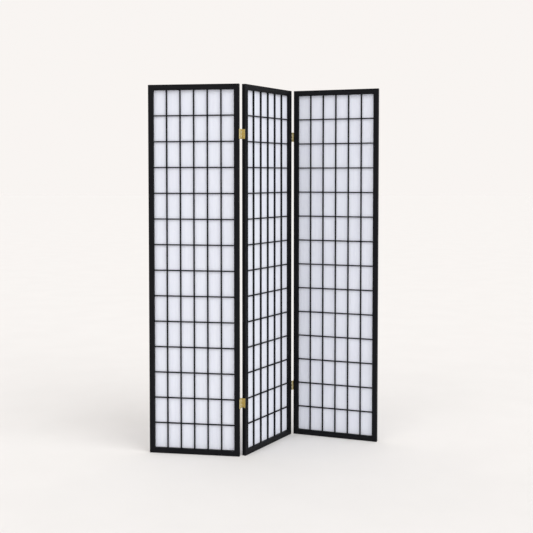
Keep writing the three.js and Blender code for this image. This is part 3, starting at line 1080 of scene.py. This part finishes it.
def make_screw_pattern():
    """A screw whose head's face is at the origin and looks along +z."""
    profile = [
        (0, -SCREW_LENGTH), (SCREW_SHANK_RADIUS, -SCREW_LENGTH * SHANK_SHARE),
        (SCREW_SHANK_RADIUS, -SCREW_HEAD_DEPTH - SCREW_RIM), (SCREW_HEAD_RADIUS, -SCREW_RIM),
        (SCREW_HEAD_RADIUS - SCREW_RIM / 2, 0), (0, 0),
    ]
    piece = make_object("screw_pattern", make_mesh("screw_pattern", *turned(profile, TURN_STEPS)),
                        screw_brass)
    for turn in (0, math.radians(90)):
        cut_with(piece, recess_wedge(turn))
    break_edges(piece, SCREW_BREAK)
    smooth_by_area(piece.data)
    return piece


pin_pattern = make_pin_pattern()
screw_pattern = make_screw_pattern()
print("a screw has", count_triangles(screw_pattern.data), "triangles")

# %% A tree that sets copies on facing points
COPY_INPUTS = [
    ("Geometry", "NodeSocketGeometry"), ("Pattern", "NodeSocketObject"),
    ("Seed", "NodeSocketInt"), ("Turn Range", "NodeSocketFloat"), ("Finish", "NodeSocketMaterial"),
]


def make_copy_tree():
    tree = new_geometry_tree("copies on facing points", COPY_INPUTS)
    build = Tree(tree)
    given = build.add("NodeGroupInput").outputs
    pattern = build.add("GeometryNodeObjectInfo", {"Object": given["Pattern"]})
    facing = build.add("GeometryNodeInputNamedAttribute", {"Name": "facing"},
                       data_type="FLOAT_VECTOR").outputs[0]
    aimed = build.add("FunctionNodeAlignRotationToVector", {"Vector": facing}, axis="Z").outputs[0]
    chance = build.add("FunctionNodeRandomValue", data_type="FLOAT")
    build.feed([s for s in chance.inputs if s.name == "Max" and s.type == "VALUE"][0],
               given["Turn Range"])
    build.feed(chance.inputs["Seed"], given["Seed"])
    angle = [s for s in chance.outputs if s.type == "VALUE"][0]
    own = build.add("FunctionNodeAxisAngleToRotation", {"Axis": (0, 0, 1), "Angle": angle})
    turned_copy = build.add("FunctionNodeRotateRotation",
                            {0: aimed, 1: own.outputs[0]}, rotation_space="LOCAL").outputs[0]
    copies = build.add("GeometryNodeInstanceOnPoints", {
        "Points": given["Geometry"], "Instance": pattern.outputs["Geometry"],
        "Rotation": turned_copy,
    }).outputs[0]
    real = build.add("GeometryNodeRealizeInstances", {"Geometry": copies}).outputs[0]
    finished = build.add("GeometryNodeSetMaterial",
                         {"Geometry": real, "Material": given["Finish"]}).outputs[0]
    build.add("NodeGroupOutput", {0: finished})
    return tree


copy_tree = make_copy_tree()


def set_copies(name, pattern, places, turn_range, material, seed):
    """One plain mesh with a copy of the pattern at every (place, facing)."""
    mesh = make_mesh(name, [place for place, _ in places], [])
    set_vectors(mesh, "facing", [tuple(facing) for _, facing in places])
    piece = make_object(name, mesh)
    return run_tree(piece, copy_tree, {
        "Pattern": pattern, "Seed": seed, "Turn Range": turn_range, "Finish": material,
    })


# %% [markdown]
# ## Hanging the panels
#
# At each fold there are two hinges. The left panel carries a leaf on its right end, and the
# right panel carries the same leaf turned half round on its left end. The middle leaves ride
# with the hinge link between the two. At rest they lie along the ends of the first and the last
# panel, because one fold is open on its rear pins and the other on its front pins.

# %% Leaves in place
def hinge_middles():
    heights = []
    for level in ("lower", "upper"):
        low, high = middle_panel.box(f"fold_2_3_{level}_hinge_left_leaf")
        heights.append((level, float(low[2] + high[2]) / 2))
    return heights


def right_end(panel, z):
    return panel.matrix @ Matrix.Translation((panel.width, 0, z))


def left_end(panel, z):
    half_turn = Matrix.Rotation(math.pi, 4, "Z")
    return panel.matrix @ Matrix.Translation((0, panel.thickness, z)) @ half_turn


LEAF_FLAT_AREA = 12e-6  # square metres, more than one strip of a knuckle


def place_copy(pattern, name, matrix, body, node):
    mesh = pattern.data.copy()
    mesh.name = name
    mesh.transform(matrix)
    smooth_by_area(mesh, LEAF_FLAT_AREA)
    piece = make_object(name, mesh)
    return finish_piece(piece, body, "brass", node)


FOLDS = {
    "fold_1_2": ("panel_1", "panel_2", "hinge_link_1_2"),
    "fold_2_3": ("panel_2", "panel_3", "hinge_link_2_3"),
}
middle_places = {
    "fold_1_2": right_end(panels["panel_1"], 0.0),
    "fold_2_3": last_panel.matrix @ Matrix.Translation((-HINGE_GAP, 0, 0)),
}
screw_places = {name: [] for name in panels}
screw_nodes = {name: [] for name in panels}


def note_screws(body, hinge, side, matrix):
    for level, z in zip(("lower", "upper"), screw_heights()):
        place = matrix @ Vector((SEAT + LEAF, SCREW_Y, z))
        facing = matrix.to_3x3() @ Vector((1, 0, 0))
        screw_places[body].append((place, facing))
        screw_nodes[body].append(f"{hinge}_{side}_leaf_{level}_screw")


for fold, (left, right, link) in FOLDS.items():
    for level, z in hinge_middles():
        hinge = f"{fold}_{level}_hinge"
        for side, body, matrix in (("left", left, right_end(panels[left], z)),
                                   ("right", right, left_end(panels[right], z))):
            node = f"{hinge}_{side}_leaf"
            place_copy(outer_leaf, f"rolled_{node}", matrix, body, node)
            note_screws(body, hinge, side, matrix)
        node = f"{hinge}_middle_leaf"
        matrix = middle_places[fold] @ Matrix.Translation((0, 0, z))
        place_copy(middle_leaf, f"drawn_{node}", matrix, link, node)
    print(fold, "has leaves at heights", [round(z * 1000, 1) for _, z in hinge_middles()])

# %% Screws and pins in place
for number, name in enumerate(panels):
    piece = set_copies(f"{name}_hinge_screws", screw_pattern, screw_places[name],
                       2 * math.pi, screw_brass, 30 + number)
    smooth_by_area(piece.data)
    finish_piece(piece, name, "brass_screw", *screw_nodes[name])
    print(name, "has", len(screw_places[name]), "screws")

for fold, (_, _, link) in FOLDS.items():
    spots, nodes = [], []
    for level, z in hinge_middles():
        for side, y in (("front", FRONT_PIN_Y), ("rear", REAR_PIN_Y)):
            spots.append((middle_places[fold] @ Vector((PIN_X, y, z)), Vector((0, 0, 1))))
            nodes.append(f"{fold}_{level}_hinge_{side}_pin")
    piece = set_copies(f"{fold}_pins", pin_pattern, spots, 0.0, pin_brass, 40)
    smooth_by_area(piece.data)
    finish_piece(piece, link, "brass", *nodes)

discard(outer_leaf, middle_leaf, pin_pattern, screw_pattern)

# %% [markdown]
# ## Floor and light
#
# A white screen with black bars reads best in even, shadowless light with just enough direction
# to model the edges. The world gives the even part. Two broad suns give the direction: their
# light is as strong far away as near, so the pale floor keeps one tone to the horizon and runs
# into the background without a line.

# %% Floor, world and suns
BACKDROP = (0.945, 0.912, 0.888)
FLOOR_TONE = (0.745, 0.738, 0.731)
FLOOR_SIZE = 120.0
FLOOR_MOTTLE = 0.985  # how dark the floor's darker patches are
# Strength, degrees round and up, softness in degrees, and colour.
SUNS = {
    "key_sun": (0.42, -32, 48, 35, (1.0, 0.985, 0.97)),
    "fill_sun": (1.2, 48, 40, 50, (0.97, 0.985, 1.0)),
}


def make_floor():
    finish = Finish("pale_studio_floor")
    place = finish.object_place()
    mottled = finish.noise(place, 3.0, 3, 0.5)
    shade = tuple(FLOOR_MOTTLE * v for v in FLOOR_TONE)
    finish.set(Base_Color=finish.blend(finish.ramp(mottled, 0.35, 0.65), FLOOR_TONE, shade),
               Roughness=0.95, Specular_IOR_Level=0.1)
    half = FLOOR_SIZE / 2
    corners = [(-half, -half, 0), (half, -half, 0), (half, half, 0), (-half, half, 0)]
    floor = make_object("studio_floor", make_mesh("studio_floor", corners, [(0, 1, 2, 3)]),
                        finish.material)


def make_sun(name, strength, across, height, softness, colour):
    light = bpy.data.lights.new(name, "SUN")
    light.energy = strength
    light.angle = math.radians(softness)
    light.color = colour
    sun = bpy.data.objects.new(name, light)
    sun.rotation_euler = Euler((math.radians(90 - height), 0, math.radians(across)), "XYZ")
    scene.collection.objects.link(sun)


make_floor()
for name, sun_values in SUNS.items():
    make_sun(name, *sun_values)

world = bpy.data.worlds.new("white_studio")
scene.world = world
world.use_nodes = True
sky = world.node_tree.nodes["Background"]
sky.inputs["Color"].default_value = (*BACKDROP, 1)
sky.inputs["Strength"].default_value = 1.0
scene.view_settings.view_transform = "Standard"
scene.view_settings.look = "None"
print("lit by", list(SUNS), "and", world.name)
